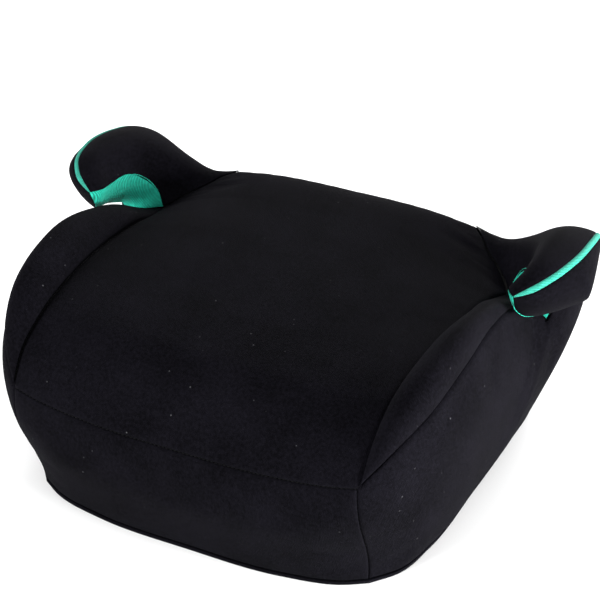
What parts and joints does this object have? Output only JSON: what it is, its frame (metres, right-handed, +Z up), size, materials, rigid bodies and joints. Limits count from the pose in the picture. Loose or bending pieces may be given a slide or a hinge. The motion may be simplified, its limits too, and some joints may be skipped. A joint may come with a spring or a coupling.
{
  "type": "booster seat",
  "caption": "Backless child booster seat with a padded fabric cover, side bolsters and hooked armrests that guide the vehicle's lap belt.",
  "frame": {"origin": "on the surface that the seat stands on, below the middle of its bounding box", "axes": "+Z up, -Y towards the front edge below the child's knees, +X towards the armrest at the right of the picture; symmetric about X = 0"},
  "size_m": [0.4632, 0.3578, 0.198],
  "materials": {
    "cover_fabric": "black stretch knit with thin wadding",
    "trim_fabric": "mint green ribbed knit",
    "padding_foam": "soft open-cell foam",
    "base_plastic": "fine moulded grain",
    "guide_plastic": "fine moulded grain",
    "screw_steel": "zinc plated"
  },
  "bodies": {
    "root": {"base_shell": "base_plastic", "cover_hem": "cover_fabric", "front_panel": "cover_fabric", "rear_panel": "cover_fabric", "seat_panel": "cover_fabric", "left_side_panel": "cover_fabric", "right_side_panel": "cover_fabric", "left_bolster_panel": "cover_fabric", "right_bolster_panel": "cover_fabric", "left_guide_inner": "cover_fabric", "right_guide_inner": "cover_fabric", "left_guide_outer": "cover_fabric", "right_guide_outer": "cover_fabric", "left_guide_lining": "trim_fabric", "right_guide_lining": "trim_fabric", "left_guide_strip": "trim_fabric", "right_guide_strip": "trim_fabric", "seat_foam": "padding_foam", "left_bolster_foam": "padding_foam", "right_bolster_foam": "padding_foam", "left_guide_foam": "padding_foam", "right_guide_foam": "padding_foam", "left_guide_core": "guide_plastic", "right_guide_core": "guide_plastic", "left_screw_1": "screw_steel", "left_screw_2": "screw_steel", "left_screw_3": "screw_steel", "right_screw_1": "screw_steel", "right_screw_2": "screw_steel", "right_screw_3": "screw_steel"}
  },
  "joints": []
}
